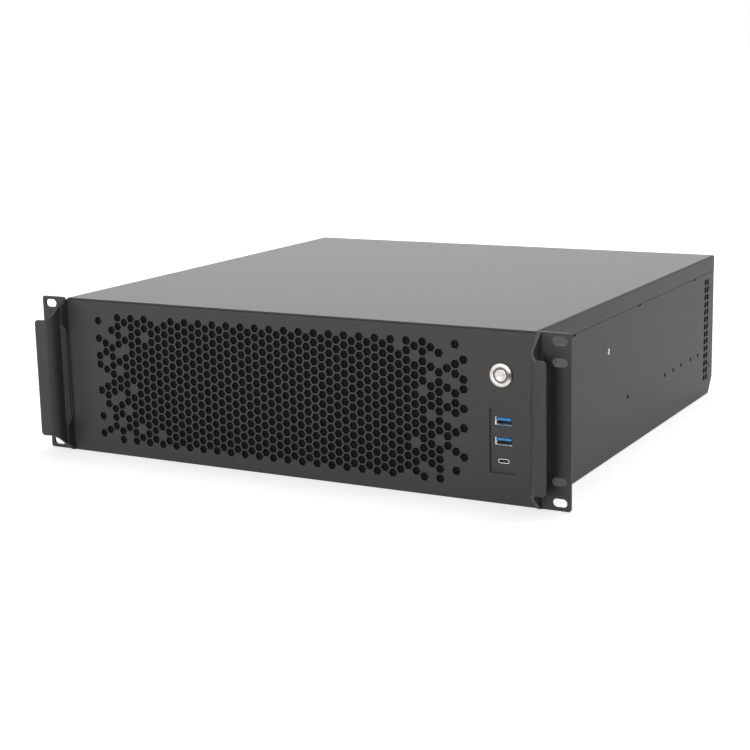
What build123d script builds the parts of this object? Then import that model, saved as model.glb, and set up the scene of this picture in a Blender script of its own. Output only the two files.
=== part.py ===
"""Rackmount workstation, three rack units high, 19 inch, as separate pieces.

Millimetres. X runs to the right seen from the front, Y to the rear and Z up.
The origin is at the middle of the bottom, on the rear face of the rack ears.
"""

from build123d import *
import math
import os

os.makedirs("parts", exist_ok=True)

# Rack format
rack_width = 482.6
rack_height = 132.5
slot_inset = 8.75
slot_edge = 5.93
slot_row_step = 15.88
slot_length = 11.5
slot_height = 6.6
ear_corner = 2.0
grip_corner = 3.0

# Chassis
ear_width = 26.3
rear_edge = 428.7
sheet = 1.2
lip_height = 14.8
lip_play = 0.25
lid_bend = 1.9
seat_play = 0.2
rear_inset = 11.4
rear_chamfer_height = 15.4

# Front panel and handles
panel_sheet = 1.5
handle_sheet = 2.0
handle_depth = 24.0
grip_reach = 16.2
grip_inset = 16.5
grip_bend = 10.0
ear_bend = 1.2
slant_start = 1.5
slant_end = 21.5
flange_depth = 8.6
window_inset = 22.0
window_back = 2.6
window_front = 9.2
notch_play = 1.2
panel_return = 12.0

# Perforated field, drawn with fewer and larger cells than the real sheet.
# Blank cells are half rows up from the middle, by column from the left or, below zero, from the right
field_sides = (28.3, 55.7)
field_margin = 10.8
cell_columns = 11
cell_half_rows = 6
cell_open_share = 0.843
blank_cells = {0: (-4, 0, 4), 1: (-5, 1), 2: (-2, 6), 3: (-3,), 4: (4,),
               -1: (-6, -2, 2, 6), -2: (-1, 3), -3: (-4, 2), -4: (-5,), -5: (6,)}

# Fans and filter
filter_thick = 3.0
filter_margin = 2.0
bracket_margin = 1.0
fan_room = 6.25
fan_overhang = 7.0
fan_depth = 25.0
fan_wall = 2.5
fan_strut = 3.0
fan_screw_radius = 2.2
fan_screw_share = 0.4375
fan_round_sides = 24
screw_hole_sides = 6
fan_offsets = (-1, 0, 1)
fan_names = ("left", "middle", "right")
fan_blades = 7
blade_steps = 3
blade_thick = 1.4
blade_pitch = 38.0
blade_camber = 0.12
blade_longest_share = 0.27
blade_root = 1.5
blade_room = 2.0
hub_share = 0.34
rotor_front_play = 1.5
shaft_radius = 2.0
shaft_play = 0.05
axial_play = 0.5
tip_play = 1.2

# Power button
button_inset = 28.5
button_z = 98.0
bezel_radius = 9.1
bezel_proud = 1.6
barrel_radius = 8.0
barrel_length = 22.0
ring_radius = 5.85
cap_radius = 4.8
ring_sunk = 0.5
ring_length = 1.9
cap_play = 0.1
cap_proud = 0.2
cap_travel = 1.5
cap_length = 8.0
nut_height = 3.0
nut_flats = 20.0
switch_width = 12.0
switch_length = 12.0
contact_spread = 6.0
contact_size = (0.8, 6.0, 2.8)

# Front ports
port_inset = 27.7
port_window = (21.4, 48.6)
port_middle = 47.7
port_step = 15.3
usb_a_outer = (13.1, 5.8)
usb_c_outer = (8.9, 3.2)
usb_shell = 0.4
usb_depth = 14.0
usb_a_tongue = (11.1, 1.8)
usb_c_tongue = (6.2, 0.7)
tongue_drop = 0.6
tongue_sunk = 0.7
socket_block = 3.0
port_play = 0.3
port_corner = 1.0
port_margin = 3.0
port_board = 1.6
board_edge = 0.2
spacer_flats = 4.6

# Side walls
rail_row_z = 43.8
rail_row_y = (286.5, 310.2, 332.9, 361.0, 382.9)
rail_hole = 2.0
lone_hole_y = 191.1
insert_y = 145.2
insert_z = 90.7
insert_radius = 3.0
insert_bore = 2.0
insert_depth = 3.0
insert_sunk = 0.2
vent_rows = 14
vent_columns = 2
vent_pitch = 7.03
vent_size = 5.3
vent_first_y = 403.3
vent_first_z = 17.9
seam_notch_y = (68.6, 218.0, 368.0)
seam_notch = (6.0, 1.2)

# Main board and what stands on it
board_length = 244.0
board_format = 244.0
board_side = 28.0
board_gap = 3.0
board_thick = 1.6
standoff_height = 6.5
standoff_flats = 5.5
standoff_shares = (0.06, 0.5, 0.94)
rear_play = 3.0
io_format = (158.75, 44.45)
io_below_board = 2.2
io_play = 0.1
slot_format = 20.32
slot_count = 4
slot_bar = 7.32
slot_opening_top = 15.2
slot_above_board = 4.0
bracket_gap = 1.92
bracket_sheet = 0.9
bracket_rise = 5.0
bracket_foot = 9.0
port_sizes = ((16, 13), (14, 16), (14, 16), (16, 28), (16, 13), (34, 12))
port_first = 6.0
port_gap = 5.0
port_length = 14.0
port_hollow = 9.0
port_wall = 1.1
processor_socket_size = 50.0
socket_height = 7.0
memory_size = (1.4, 133.0, 31.0)
memory_socket_size = (6.6, 141.0, 8.0)
memory_sunk = 5.0
memory_gap = 8.0
memory_count = 4
memory_step = 9.6
expansion_size = (7.2, 89.0, 11.0)
expansion_setback = 46.0
rear_vent_step = 13.8
rear_vent_gap = 10.0
rear_vent_top = 13.0

# Graphics card
card_thick = 1.6
card_length = 172.0
card_room = 12.0
housing_side = 5.44
housing_inset = 4.0
housing_drop = 2.0
housing_gap = 1.0
housing_corner = 10.0
card_port = (3.0, 12.0)
card_vent = (10.0, 4.0)
card_port_count = 5
card_port_share = 0.173
card_port_first = 16.0
card_port_side = 2.0

# Processor cooler
cooler_place = (5.0, 90.0)
cooler_size = 92.0
cooler_base = 8.0
cooler_fin_height = 38.0
cooler_fins = 16
cooler_fin = 1.2

# Power supply
psu_size = (150.0, 140.0, 86.0)
psu_room = 5.0
psu_border = 4.0
inlet_size = (27.4, 20.0)
inlet_centre = (30.0, 14.0)
inlet_depth = 18.0
inlet_wall = 2.2
inlet_floor = 3.0
inlet_pin_back = 4.5
inlet_pins = ((-7.0, -1.5), (0.0, 2.5), (7.0, -1.5))
inlet_pin = (2.0, 4.0)
rocker_size = (13.0, 19.0)
rocker_gap = 6.0
rocker_play = 0.4
rocker_end_play = 0.8
rocker_depth = 6.0
rocker_rise = 0.8
rocker_dip = 0.4
rocker_back = 5.0
rocker_taper = 0.7
pivot_radius = 1.0
pivot_depth = 3.0
psu_vent = 11.0
psu_vent_step = 15.0
psu_vent_depth = 2.0
psu_vent_first = 58.0

# Drives
drive_size = (101.6, 147.0, 26.1)
drive_inset = 80.0
drive_front = 62.0
drive_lift = 8.0
drive_corner = 3.0
angle_setback = 5.0
angle_foot = 12.0
angle_share = 0.7

# Cover screws
screw_radius = 4.0
screw_length = 5.0
screw_drop = 5.0
screw_share = 0.8

slot_span = rack_width - 2 * slot_inset
slot_rows = (slot_edge, slot_edge + slot_row_step, rack_height - slot_edge - slot_row_step, rack_height - slot_edge)
body_width = rack_width - 2 * ear_width
half = body_width / 2
field_x = (field_sides[0] - field_sides[1]) / 2
field_width = body_width - sum(field_sides)
field_height = rack_height - 2 * field_margin
cell_pitch = field_height / (cell_half_rows + cell_open_share)
cell_flats = cell_pitch * cell_open_share
cell_spread = (field_width - cell_flats / math.cos(math.pi / 6)) / (2 * cell_columns)
fan_size = min(rack_height - 2 * fan_room, (field_width + 2 * fan_overhang) / len(fan_offsets))
button_x = half - button_inset
port_x = half - port_inset
drive_x = half - drive_inset
psu_right = half - psu_room
psu_left = psu_right - psu_size[0]
board_right = psu_left - board_gap
board_width = board_right + half - board_side
board_scale = board_width / board_format
io_opening = (io_format[0] * board_scale, io_format[1])
slot_step = slot_format * board_scale
slot_opening_width = slot_step - slot_bar
bracket_width = slot_step - bracket_gap
housing_width = 2 * slot_step - housing_side
ear_face = -handle_sheet
panel_back = ear_face + panel_sheet
panel_top = rack_height - sheet - lip_play
web_x = half + panel_sheet
wall_top = rack_height - sheet - lip_play
lip_bottom = rack_height - lip_height
seam = lip_bottom - lip_play
upper_x = half - sheet - lip_play
grip_front = ear_face - handle_depth
grip_low = grip_inset
grip_high = rack_height - grip_inset
fan_z = rack_height / 2
filter_back = panel_back + filter_thick
bracket_back = filter_back + sheet
rear_face = rear_edge - rear_inset
rear_front = rear_face - sheet
board_z = sheet + standoff_height
board_top = board_z + board_thick
slot_opening_height = rack_height - board_top - slot_above_board - slot_opening_top
board_rear = rear_front - rear_play
io_x = board_right - io_opening[0] / 2
io_low = board_top - io_below_board
plate_back = panel_back + sheet


def box(x0, x1, y0, y1, z0, z1):
    """A box between two corners."""
    size = (x1 - x0, y1 - y0, z1 - z0)
    return Pos((x0 + x1) / 2, (y0 + y1) / 2, (z0 + z1) / 2) * Box(*size)


def along_y(sketch, y0, y1, x=0.0, z=0.0):
    """A sketch drawn in X and Z, extruded from y0 back to y1."""
    plane = Plane(origin=(x, y0, z), x_dir=(1, 0, 0), z_dir=(0, -1, 0))
    return extrude(plane * sketch, -(y1 - y0))


def along_x(points, x0, x1):
    """An outline of (y, z) points, extruded from x0 to x1."""
    plane = Plane(origin=(x0, 0, 0), x_dir=(0, 1, 0), z_dir=(1, 0, 0))
    return extrude(plane * make_face(Polyline(*points, close=True)), x1 - x0)


def rod_y(radius, y0, y1, x, z):
    return along_y(Circle(radius), y0, y1, x, z)


def rod_x(radius, x0, x1, y, z):
    plane = Plane(origin=(x0, y, z), x_dir=(0, 1, 0), z_dir=(1, 0, 0))
    return extrude(plane * Circle(radius), x1 - x0)


def mirrored(shape):
    return mirror(shape, about=Plane.YZ)


def save(name, shape):
    """Write one node; a list becomes a group of separate solids."""
    if isinstance(shape, (list, tuple)):
        shape = Compound(children=[piece for item in shape for piece in item.solids()])
    export_step(shape, f"parts/{name}.step")


def slant_cutter(extra, x0, x1):
    """What lies in front of the slanted ends of a handle's web, top and bottom."""
    far = grip_front - slant_start
    pieces = []
    for low, high, sense in ((rack_height, grip_high, 1), (0.0, grip_low, -1)):
        shift = -extra * sense
        points = [(ear_face - slant_start, low + shift), (ear_face - slant_end, high + shift),
                  (far, high + shift), (far, low + sense * slant_end),
                  (ear_face - slant_start, low + sense * slant_end)]
        pieces.append(along_x(points, x0, x1))
    return pieces


def handle():
    """Right handle: the ear, a web bent forward and a grip bent outward, in one sheet."""
    ear_out = rack_width / 2
    grip_out = half + grip_reach
    outer = web_x + handle_sheet
    points = [(web_x, 0), (ear_out, 0), (ear_out, ear_face), (outer, ear_face),
              (outer, grip_front + handle_sheet), (grip_out, grip_front + handle_sheet),
              (grip_out, grip_front), (web_x, grip_front)]
    profile = make_face(Polyline(*points, close=True))
    bends = ((web_x, 0, ear_bend + handle_sheet), (outer, ear_face, ear_bend),
             (outer, grip_front + handle_sheet, grip_bend - handle_sheet), (web_x, grip_front, grip_bend))
    for x, y, radius in bends:
        corner = profile.vertices().sort_by_distance((x, y, 0))[0]
        profile = fillet(corner, radius)
    body = extrude(profile, rack_height)
    for cutter in slant_cutter(0.0, web_x - 1, ear_out):
        body -= cutter
    body -= window_cutter(0.0, web_x - handle_sheet, outer + handle_sheet)
    for z in slot_rows:
        body -= along_y(SlotOverall(slot_length, slot_height), ear_face - 1, 1, slot_span / 2, z)
    ear_edges = body.edges().filter_by(Axis.Y).filter_by_position(Axis.X, ear_out - 0.01, ear_out + 0.01)
    body = fillet(ear_edges, ear_corner)
    grip_edges = body.edges().filter_by(Axis.Y).filter_by_position(Axis.X, grip_out - 0.01, grip_out + 0.01)
    return fillet(grip_edges, grip_corner)


def window_cutter(extra, x0, x1):
    """The long window at the root of a handle's web, its ends cut at 45 degrees."""
    front = ear_face - window_front - extra
    back = ear_face - window_back + extra
    depth = back - front
    low = window_inset - extra
    high = rack_height - window_inset + extra
    points = [(front, low), (back, low + depth), (back, high - depth), (front, high)]
    return along_x(points, x0, x1)


def cell_places():
    """Column by column centres of the hexagons, with the blank ones at both ends left out."""
    columns = 2 * cell_columns + 1
    places = []
    for column in range(columns):
        x = field_x + (column - cell_columns) * cell_spread
        blanks = blank_cells.get(column, ()) + blank_cells.get(column - columns, ())
        start = cell_half_rows - column % 2
        for row in range(-start, start + 1, 2):
            if row not in blanks:
                places.append((x, fan_z + row * cell_pitch / 2))
    return places


def front_panel():
    """Perforated front with side flanges bent forward and two returns bent back."""
    panel = box(-half, half, ear_face, panel_back, 0, panel_top)
    flange = box(half, web_x, ear_face - flange_depth, panel_back, 0, rack_height)
    for cutter in slant_cutter(panel_sheet / 2, half - 1, web_x + 1):
        flange -= cutter
    flange -= box(half - 1, web_x + 1, grip_front, panel_back, panel_top, rack_height + 1)
    flange -= window_cutter(notch_play, half - 1, web_x + 1)
    panel += flange
    panel += mirrored(flange)
    returns_x = upper_x - sheet - seat_play
    panel += box(-returns_x, returns_x, panel_back, panel_back + panel_return, panel_top - panel_sheet, panel_top)
    panel += box(-returns_x, returns_x, panel_back, panel_back + panel_return, sheet, sheet + panel_sheet)
    cells = [Pos(x, z) * RegularPolygon(cell_flats / 2, 6, major_radius=False) for x, z in cell_places()]
    panel -= along_y(Sketch() + cells, ear_face - 1, panel_back + 1)
    panel -= rod_y(barrel_radius + cap_play, ear_face - 1, panel_back + 1, button_x, button_z)
    window = RectangleRounded(*port_window, port_corner)
    panel -= along_y(window, ear_face - 1, panel_back + 1, port_x, port_middle)
    return panel


def side_wall():
    """Right wall folded up from the floor, its top stepped in to take the cover's lip."""
    inner, root = half - sheet, half - 2 * sheet
    points = [(root, 0), (half, 0), (half, seam), (upper_x, seam), (upper_x, wall_top),
              (upper_x - sheet, wall_top), (upper_x - sheet, seam - sheet), (inner, seam - sheet),
              (inner, sheet), (root, sheet)]
    wall = along_y(make_face(Polyline(*points, close=True)), panel_back, rear_edge)
    bend = wall.edges().filter_by(Axis.Y).sort_by_distance((half, rear_edge / 2, 0))[0]
    wall = fillet(bend, sheet)
    corner = [(rear_edge - rear_inset, -1), (rear_edge + 1, -1), (rear_edge + 1, rear_chamfer_height),
              (rear_edge, rear_chamfer_height), (rear_edge - rear_inset, 0)]
    wall -= along_x(corner, root - 1, half + 1)
    wall -= box(root - 1, inner - seat_play, rear_face, rear_edge + 1, -1, sheet + 1)
    wall -= box(upper_x - sheet - 1, half + 1, rear_edge - sheet, rear_edge + 1, seam, wall_top + 1)
    holes = [rod_x(rail_hole, inner - 1, half + 1, y, rail_row_z) for y in rail_row_y + (lone_hole_y,)]
    holes.append(rod_x(insert_radius, inner - 1, half + 1, insert_y, insert_z))
    return wall - vents(inner - 1, half + 1) - holes - seam_notches(inner + sheet / 2, half + 1)


def vents(x0, x1):
    """Square vent openings near the wall's rear edge, from the front column back."""
    reach = vent_size / 2
    openings = []
    for column in range(vent_columns):
        y = vent_first_y + column * vent_pitch
        for row in range(vent_rows):
            z = vent_first_z + row * vent_pitch
            openings.append(box(x0, x1, y - reach, y + reach, z - reach, z + reach))
    return openings


def seam_notches(x0, x1):
    """Pry slots along the joint between the wall and the cover's lip."""
    length, height = seam_notch
    return [box(x0, x1, y - length / 2, y + length / 2, seam - height, seam + 1) for y in seam_notch_y]


def chassis_base():
    """Floor and both side walls of the chassis, met at the inside of each fold."""
    root = half - 2 * sheet
    floor = box(-root, root, panel_back, rear_face, 0, sheet)
    right = side_wall()
    return [floor, right, mirrored(right)]


def top_cover():
    """Lid with a lip down each side and one at the rear."""
    front = ear_face + seat_play
    rear = rear_edge + sheet / 2
    outer = box(-half, half, front, rear, lip_bottom, rack_height)
    edges = outer.edges().filter_by_position(Axis.Z, rack_height - 0.01, rack_height + 0.01)
    edges = edges.filter_by(lambda edge: edge.center().Y > front + 1)
    outer = fillet(edges, lid_bend)
    inner = box(-half + sheet, half - sheet, front - 1, rear - sheet, lip_bottom - 1, rack_height - sheet)
    cover = outer - inner
    cut_low = lip_bottom + lip_height / 3
    cover -= box(-half + sheet * 2, half - sheet * 2, rear - sheet * 2, rear + 1, lip_bottom - 1, cut_low)
    cover -= box(-half - 1, half + 1, front - 1, panel_back + seat_play, lip_bottom - 1, rack_height - sheet)
    return cover


def rear_panel():
    """Rear wall set in from the edge, with a flange back along each side wall."""
    side_x = half - sheet
    upper = upper_x - sheet
    wall = box(-upper, upper, rear_front, rear_face, sheet, wall_top)
    wall += box(-side_x, side_x, rear_front, rear_face, sheet, seam - sheet)
    wall -= io_cutter(rear_front - 1, rear_face + 1, 0.0)
    for x in slot_centres():
        wall -= slot_cutter(x, rear_front - 1, rear_face + 1)
    wall -= box(psu_left + psu_border, psu_right - psu_border, rear_front - 1, rear_face + 1,
                sheet + psu_border, sheet + psu_size[2] - psu_border)
    low = io_low + io_opening[1] + rear_vent_gap
    columns = int(io_opening[0] // rear_vent_step) - 1
    for column in range(columns):
        x = io_x + (column - (columns - 1) / 2) * rear_vent_step
        wall -= box(x - vent_size / 2, x + vent_size / 2, rear_front - 1, rear_face + 1, low,
                    wall_top - rear_vent_top)
    flange = box(side_x - sheet, side_x, rear_face, rear_edge - sheet, sheet + rear_chamfer_height, seam - sheet)
    return [wall, flange, mirrored(flange)]


def io_cutter(y0, y1, extra):
    low = io_low - extra
    return box(io_x - io_opening[0] / 2 - extra, io_x + io_opening[0] / 2 + extra, y0, y1, low,
               low + io_opening[1] + 2 * extra)


def slot_centres():
    first = io_x - io_opening[0] / 2 - slot_step / 2
    return [first - index * slot_step for index in range(slot_count)]


def slot_low():
    return board_top + slot_above_board


def slot_cutter(x, y0, y1):
    reach = slot_opening_width / 2
    return box(x - reach, x + reach, y0, y1, slot_low(), slot_low() + slot_opening_height)


def bracket(x, width):
    """Expansion bracket inside the rear wall, with a foot bent forward at its top."""
    top = slot_low() + slot_opening_height + bracket_rise
    plate = box(x - width / 2, x + width / 2, rear_front - bracket_sheet, rear_front, board_top, top)
    foot = box(x - width / 2, x + width / 2, rear_front - bracket_foot, rear_front, top - bracket_sheet, top)
    return plate + foot


def faceted(radius, height, z=0.0, sides=fan_round_sides):
    """A round form of the fans with few faces, never inside the stated radius."""
    return Pos(0, 0, z) * extrude(RegularPolygon(radius, sides, major_radius=False), height)


def fan_frame(size, depth, axis_place):
    """Square fan housing with a round throat, corner holes, struts and a motor seat."""
    bore = size / 2 - fan_wall
    hub = size * hub_share / 2
    frame = Box(size, size, depth, align=(Align.CENTER, Align.CENTER, Align.MIN))
    frame = chamfer(frame.edges().filter_by(Axis.Z), fan_wall)
    frame -= faceted(bore, depth)
    reach = size * fan_screw_share
    for x in (-reach, reach):
        for y in (-reach, reach):
            frame -= Pos(x, y) * faceted(fan_screw_radius, depth, sides=screw_hole_sides)
    seat = depth - fan_strut
    for angle in (45, 135, 225, 315):
        frame += Rot(0, 0, angle) * box(hub - 1, bore + 1, -fan_strut / 2, fan_strut / 2, seat, depth)
    frame += faceted(hub, fan_strut, seat)
    frame -= Cylinder(shaft_radius + shaft_play, depth * 3)
    return axis_place * frame


def blade_section(chord):
    """Cambered blade section, sharp at both edges."""
    shares = [2 * step / blade_steps - 1 for step in range(blade_steps + 1)]
    sag = chord * blade_camber
    outer = [(share * chord / 2, (1 - share ** 2) * (sag + blade_thick)) for share in shares]
    inner = [(share * chord / 2, (1 - share ** 2) * sag) for share in reversed(shares[1:-1])]
    return make_face(Polyline(*outer, *inner, close=True))


def fan_rotor(size, depth, axis_place):
    """Hub with a shaft and cambered blades, running inside the housing's throat."""
    hub = size * hub_share / 2
    low = rotor_front_play
    high = depth - fan_strut - axial_play
    rotor = faceted(hub, high - low, low)
    rotor += Pos(0, 0, low) * Cylinder(shaft_radius, depth - low, align=(Align.CENTER, Align.CENTER, Align.MIN))
    chord = min((high - low - blade_room) / math.sin(math.radians(blade_pitch)), size * blade_longest_share)
    half_width = chord / 2 * math.cos(math.radians(blade_pitch))
    tip = math.sqrt((size / 2 - fan_wall - tip_play) ** 2 - half_width ** 2)
    root = hub - blade_root
    plane = Plane(origin=(root, 0, (low + high) / 2), x_dir=(0, 1, 0), z_dir=(1, 0, 0))
    blade = extrude(plane * Rot(0, 0, blade_pitch) * blade_section(chord), tip - root)
    for index in range(fan_blades):
        rotor += Rot(0, 0, index * 360 / fan_blades) * blade
    return axis_place * rotor


def fan_axis(offset):
    """Place of a front fan, its depth running back along Y."""
    return Pos(field_x + offset * fan_size, bracket_back, fan_z) * Rot(-90, 0, 0)


def fan_bracket():
    """Plate between filter and fans, with an eight-sided opening before each fan."""
    reach = fan_size * len(fan_offsets) / 2 + bracket_margin
    plate = box(field_x - reach, field_x + reach, filter_back, bracket_back, sheet + panel_sheet,
                panel_top - panel_sheet)
    opening = Rot(0, 0, 22.5) * RegularPolygon(fan_size / 2 - fan_wall * 2, 8, major_radius=False)
    for offset in fan_offsets:
        plate -= along_y(opening, filter_back - 1, bracket_back + 1, field_x + offset * fan_size, fan_z)
    return plate


def dust_filter():
    reach_x = field_width / 2 + filter_margin
    reach_z = field_height / 2 + filter_margin
    return box(field_x - reach_x, field_x + reach_x, panel_back, filter_back, fan_z - reach_z, fan_z + reach_z)


def button_bezel():
    """Turned steel head with its barrel, bored for the cap and its light ring."""
    end = bezel_proud + barrel_length
    step = ring_sunk + ring_length
    points = [(ring_radius, 0), (bezel_radius, 0), (bezel_radius, bezel_proud), (barrel_radius, bezel_proud),
              (barrel_radius, end), (cap_radius + cap_play, end), (cap_radius + cap_play, step), (ring_radius, step)]
    turned = revolve(Plane.XZ * make_face(Polyline(*points, close=True)), Axis.Z)
    return Pos(button_x, ear_face - bezel_proud, button_z) * Rot(-90, 0, 0) * turned


def button_ring():
    front = ear_face - bezel_proud + ring_sunk
    tube = Circle(ring_radius) - Circle(cap_radius + cap_play)
    return along_y(tube, front, front + ring_length, button_x, button_z)


def button_cap():
    front = ear_face - bezel_proud - cap_proud
    return rod_y(cap_radius, front, front + cap_length, button_x, button_z)


def button_switch():
    """Switch body behind the barrel, with its plunger stop inside it and two contacts."""
    start = ear_face - bezel_proud - cap_proud + cap_length + cap_travel + cap_play
    end = ear_face + barrel_length
    back = end + switch_length
    reach = switch_width / 2
    body = along_y(RegularPolygon(cap_radius + cap_play, 6), start, end, button_x, button_z)
    body += box(button_x - reach, button_x + reach, end, back, button_z - reach, button_z + reach)
    thick, length, wide = contact_size
    for x in (button_x - contact_spread / 2, button_x + contact_spread / 2):
        body += box(x - thick / 2, x + thick / 2, end, back + length, button_z - wide / 2, button_z + wide / 2)
    return body


def button_nut():
    ring = RegularPolygon(nut_flats / 2, 6, major_radius=False) - Circle(barrel_radius)
    return along_y(ring, panel_back, panel_back + nut_height, button_x, button_z)


def port_places():
    """Centres of the two large sockets and, last, of the small one."""
    top = port_middle + port_step
    return [(port_x, top), (port_x, top - port_step), (port_x, top - 2 * port_step)]


def large_socket():
    """Inside width and height of a large socket's shell."""
    return usb_a_outer[0] - 2 * usb_shell, usb_a_outer[1] - 2 * usb_shell


def small_socket(width, height):
    return RectangleRounded(width, height, height / 2 - 0.01)


def small_socket_inside():
    return small_socket(usb_c_outer[0] - 2 * usb_shell, usb_c_outer[1] - 2 * usb_shell)


def port_plate():
    """Plate behind the panel's window, cut out round each socket."""
    width, height = (size + 2 * port_margin for size in port_window)
    plate = box(port_x - width / 2, port_x + width / 2, panel_back, plate_back,
                port_middle - height / 2, port_middle + height / 2)
    large = Rectangle(usb_a_outer[0] + 2 * port_play, usb_a_outer[1] + 2 * port_play)
    small = small_socket(usb_c_outer[0] + 2 * port_play, usb_c_outer[1] + 2 * port_play)
    for (x, z), hole in zip(port_places(), (large, large, small)):
        plate -= along_y(hole, panel_back - 1, plate_back + 1, x, z)
    return plate


def usb_a_shells():
    tube = Rectangle(*usb_a_outer) - Rectangle(*large_socket())
    return [along_y(tube, panel_back, panel_back + usb_depth, x, z) for x, z in port_places()[:2]]


def usb_a_tongues():
    """Each tongue hangs below the shell's roof and has a block at the rear that fills the shell."""
    wide, tall = large_socket()
    back = panel_back + usb_depth
    reach = usb_a_tongue[0] / 2
    blocks = []
    for x, z in port_places()[:2]:
        top = z + tall / 2 - tongue_drop
        tongue = box(x - reach, x + reach, panel_back + tongue_sunk, back, top - usb_a_tongue[1], top)
        block = box(x - wide / 2, x + wide / 2, back - socket_block, back, z - tall / 2, z + tall / 2)
        blocks.append(tongue + block)
    return blocks


def usb_c_shell():
    x, z = port_places()[2]
    tube = small_socket(*usb_c_outer) - small_socket_inside()
    return along_y(tube, panel_back, panel_back + usb_depth, x, z)


def usb_c_tongue_piece():
    x, z = port_places()[2]
    back = panel_back + usb_depth
    wide, thick = usb_c_tongue
    tongue = box(x - wide / 2, x + wide / 2, panel_back + tongue_sunk, back, z - thick / 2, z + thick / 2)
    return tongue + along_y(small_socket_inside(), back - socket_block, back, x, z)


def port_board_piece():
    width, height = port_window
    y = panel_back + usb_depth
    reach_z = height / 2 + port_margin
    return box(port_x - width / 2, port_x + width / 2, y, y + port_board, port_middle - reach_z,
               port_middle + reach_z)


def port_spacers():
    """Two posts that carry the port board behind its plate."""
    reach = port_window[1] / 2 + port_margin - spacer_flats / 2 - board_edge
    post = RegularPolygon(spacer_flats / 2, 6, major_radius=False)
    back = panel_back + usb_depth
    return [along_y(post, plate_back, back, port_x, port_middle + sense * reach) for sense in (-1, 1)]


def main_board():
    return box(board_right - board_width, board_right, board_rear - board_length, board_rear, board_z, board_top)


def board_standoffs():
    hexagon = RegularPolygon(standoff_flats / 2, 6, major_radius=False)
    posts = []
    for column in standoff_shares:
        for row in standoff_shares:
            x = board_right - board_width * column
            y = board_rear - board_length * row
            posts.append(Pos(x, y, sheet) * extrude(hexagon, standoff_height))
    return posts


def cooler_centre():
    return io_x + cooler_place[0], board_rear - cooler_place[1]


def processor_socket():
    x, y = cooler_centre()
    reach = processor_socket_size / 2
    return box(x - reach, x + reach, y - reach, y + reach, board_top, board_top + socket_height)


def heatsink():
    """Cooler with a thick base and upright fins."""
    x, y = cooler_centre()
    reach = cooler_size / 2
    low = board_top + socket_height
    root = low + cooler_base
    sink = box(x - reach, x + reach, y - reach, y + reach, low, root)
    step = (cooler_size - cooler_fin) / (cooler_fins - 1)
    for index in range(cooler_fins):
        left = x - reach + index * step
        sink += box(left, left + cooler_fin, y - reach, y + reach, root, root + cooler_fin_height)
    return sink


def cooler_axis():
    """Place of the cooler's fan, its intake upwards."""
    x, y = cooler_centre()
    top = board_top + socket_height + cooler_base + cooler_fin_height + fan_depth
    return Pos(x, y, top) * Rot(180, 0, 0)


def memory_places():
    x, y = cooler_centre()
    first = y - cooler_size / 2 - memory_gap
    return [(x, first - index * memory_step) for index in range(memory_count)]


def memory_modules():
    """Upright modules across the board, in front of the cooler."""
    thick, length, height = memory_size
    low = board_top + memory_socket_size[2] - memory_sunk
    return [box(x - length / 2, x + length / 2, y - thick / 2, y + thick / 2, low, low + height)
            for x, y in memory_places()]


def memory_slots():
    thick, length, height = memory_socket_size
    return [box(x - length / 2, x + length / 2, y - thick / 2, y + thick / 2, board_top, board_top + height) - module
            for (x, y), module in zip(memory_places(), memory_modules())]


def expansion_sockets():
    width, length, height = expansion_size
    rear = board_rear - expansion_setback
    return [box(x - width / 2, x + width / 2, rear - length, rear, board_top, board_top + height)
            for x in slot_centres()[1:3]]


def card_x():
    return slot_centres()[1]


def graphics_board():
    reach = card_thick / 2
    rear = rear_front - bracket_sheet
    return box(card_x() - reach, card_x() + reach, rear - card_length, rear, board_top + expansion_size[2],
               rack_height - card_room)


def graphics_housing():
    """Cooler housing on the card's left, rounded at its front end."""
    right = card_x() - card_thick / 2
    rear = rear_front - bracket_sheet - housing_gap
    front = rear_front - bracket_sheet - card_length + housing_inset
    low = board_top + expansion_size[2] + housing_inset
    housing = box(right - housing_width, right, front, rear, low, rack_height - card_room - housing_drop)
    ends = housing.edges().filter_by(Axis.X).filter_by_position(Axis.Y, front - 1, front + 1)
    return fillet(ends, housing_corner)


def graphics_bracket():
    """Double bracket, with display sockets by the card and vent slots beside them."""
    plate = bracket(card_x() - slot_step / 2, bracket_width + slot_step)
    port_wide, port_tall = card_port
    vent_wide, vent_tall = card_vent
    vent_x = card_x() - slot_step
    for row in range(card_port_count):
        z = slot_low() + card_port_first + row * card_port_share * slot_opening_height
        left = card_x() + card_port_side
        plate -= box(left, left + port_wide, rear_front - 2, rear_front + 1, z, z + port_tall)
        plate -= box(vent_x - vent_wide / 2, vent_x + vent_wide / 2, rear_front - 2, rear_front + 1, z, z + vent_tall)
    return plate


def slot_covers():
    places = slot_centres()
    return [bracket(x, bracket_width) for x in (places[0], places[-1])]


def io_shield():
    """Pressed shield in the rear wall's wide opening, cut out for the board's ports."""
    shield = io_cutter(rear_front, rear_face - bracket_sheet / 2, -io_play)
    for port in rear_port_blocks():
        shield -= port
    return shield


def rear_port_blocks():
    """Outer forms of the ports along the board's rear edge, from the right."""
    blocks = []
    x = io_x + io_opening[0] / 2 - port_first * board_scale
    for format_width, height in port_sizes:
        width = format_width * board_scale
        blocks.append(box(x - width, x, board_rear - port_length, rear_face, board_top, board_top + height))
        x -= width + port_gap * board_scale
    return blocks


def rear_ports():
    shells = []
    for block in rear_port_blocks():
        bounds = block.bounding_box()
        shells.append(block - box(bounds.min.X + port_wall, bounds.max.X - port_wall, rear_face - port_hollow,
                                  rear_face + 1, bounds.min.Z + port_wall, bounds.max.Z - port_wall))
    return shells


def inlet_place():
    """Middle of the mains inlet on the power supply's rear."""
    return psu_left + inlet_centre[0], sheet + psu_size[2] / 2 + inlet_centre[1]


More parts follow.
